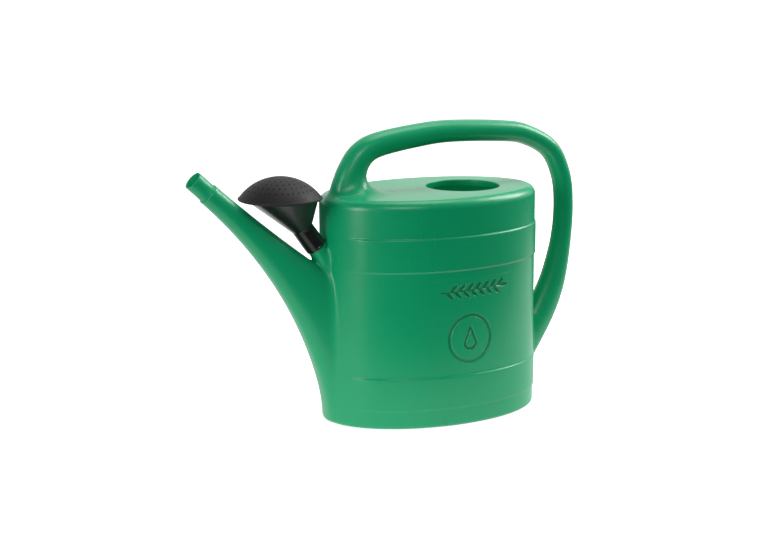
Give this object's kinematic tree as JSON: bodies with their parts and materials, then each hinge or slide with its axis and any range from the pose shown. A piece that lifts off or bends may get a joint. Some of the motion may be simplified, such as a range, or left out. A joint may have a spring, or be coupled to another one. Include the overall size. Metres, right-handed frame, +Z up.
{
  "type": "watering can",
  "caption": "Oval plastic garden watering can with an arched handle, a long tapered spout and a domed sprinkler rose parked on a peg.",
  "frame": {"origin": "centre of the flat base, where the can stands", "axes": "+Z up, -X towards the spout, +X towards the back of the handle, Y across the can"},
  "size_m": [0.5666, 0.2078, 0.391],
  "materials": {
    "green_polyethylene": "satin blow-moulded polyethylene",
    "charcoal_plastic": "fine matt moulded"
  },
  "bodies": {
    "can": {"tank": "green_polyethylene", "spout": "green_polyethylene", "handle": "green_polyethylene", "rose_peg": "green_polyethylene"},
    "rose": {"rose_funnel": "charcoal_plastic"},
    "rose_front": {"rose_face": "charcoal_plastic"}
  },
  "joints": [
    {"name": "rose_lift_off", "type": "slide", "parent": "can", "child": "rose", "axis": [-0.5878, 0, 0.809], "range_m": [0, 0.06]},
    {"name": "face_snap_off", "type": "slide", "parent": "rose", "child": "rose_front", "axis": [0, 0, 1], "range_m": [0, 0.02]}
  ]
}
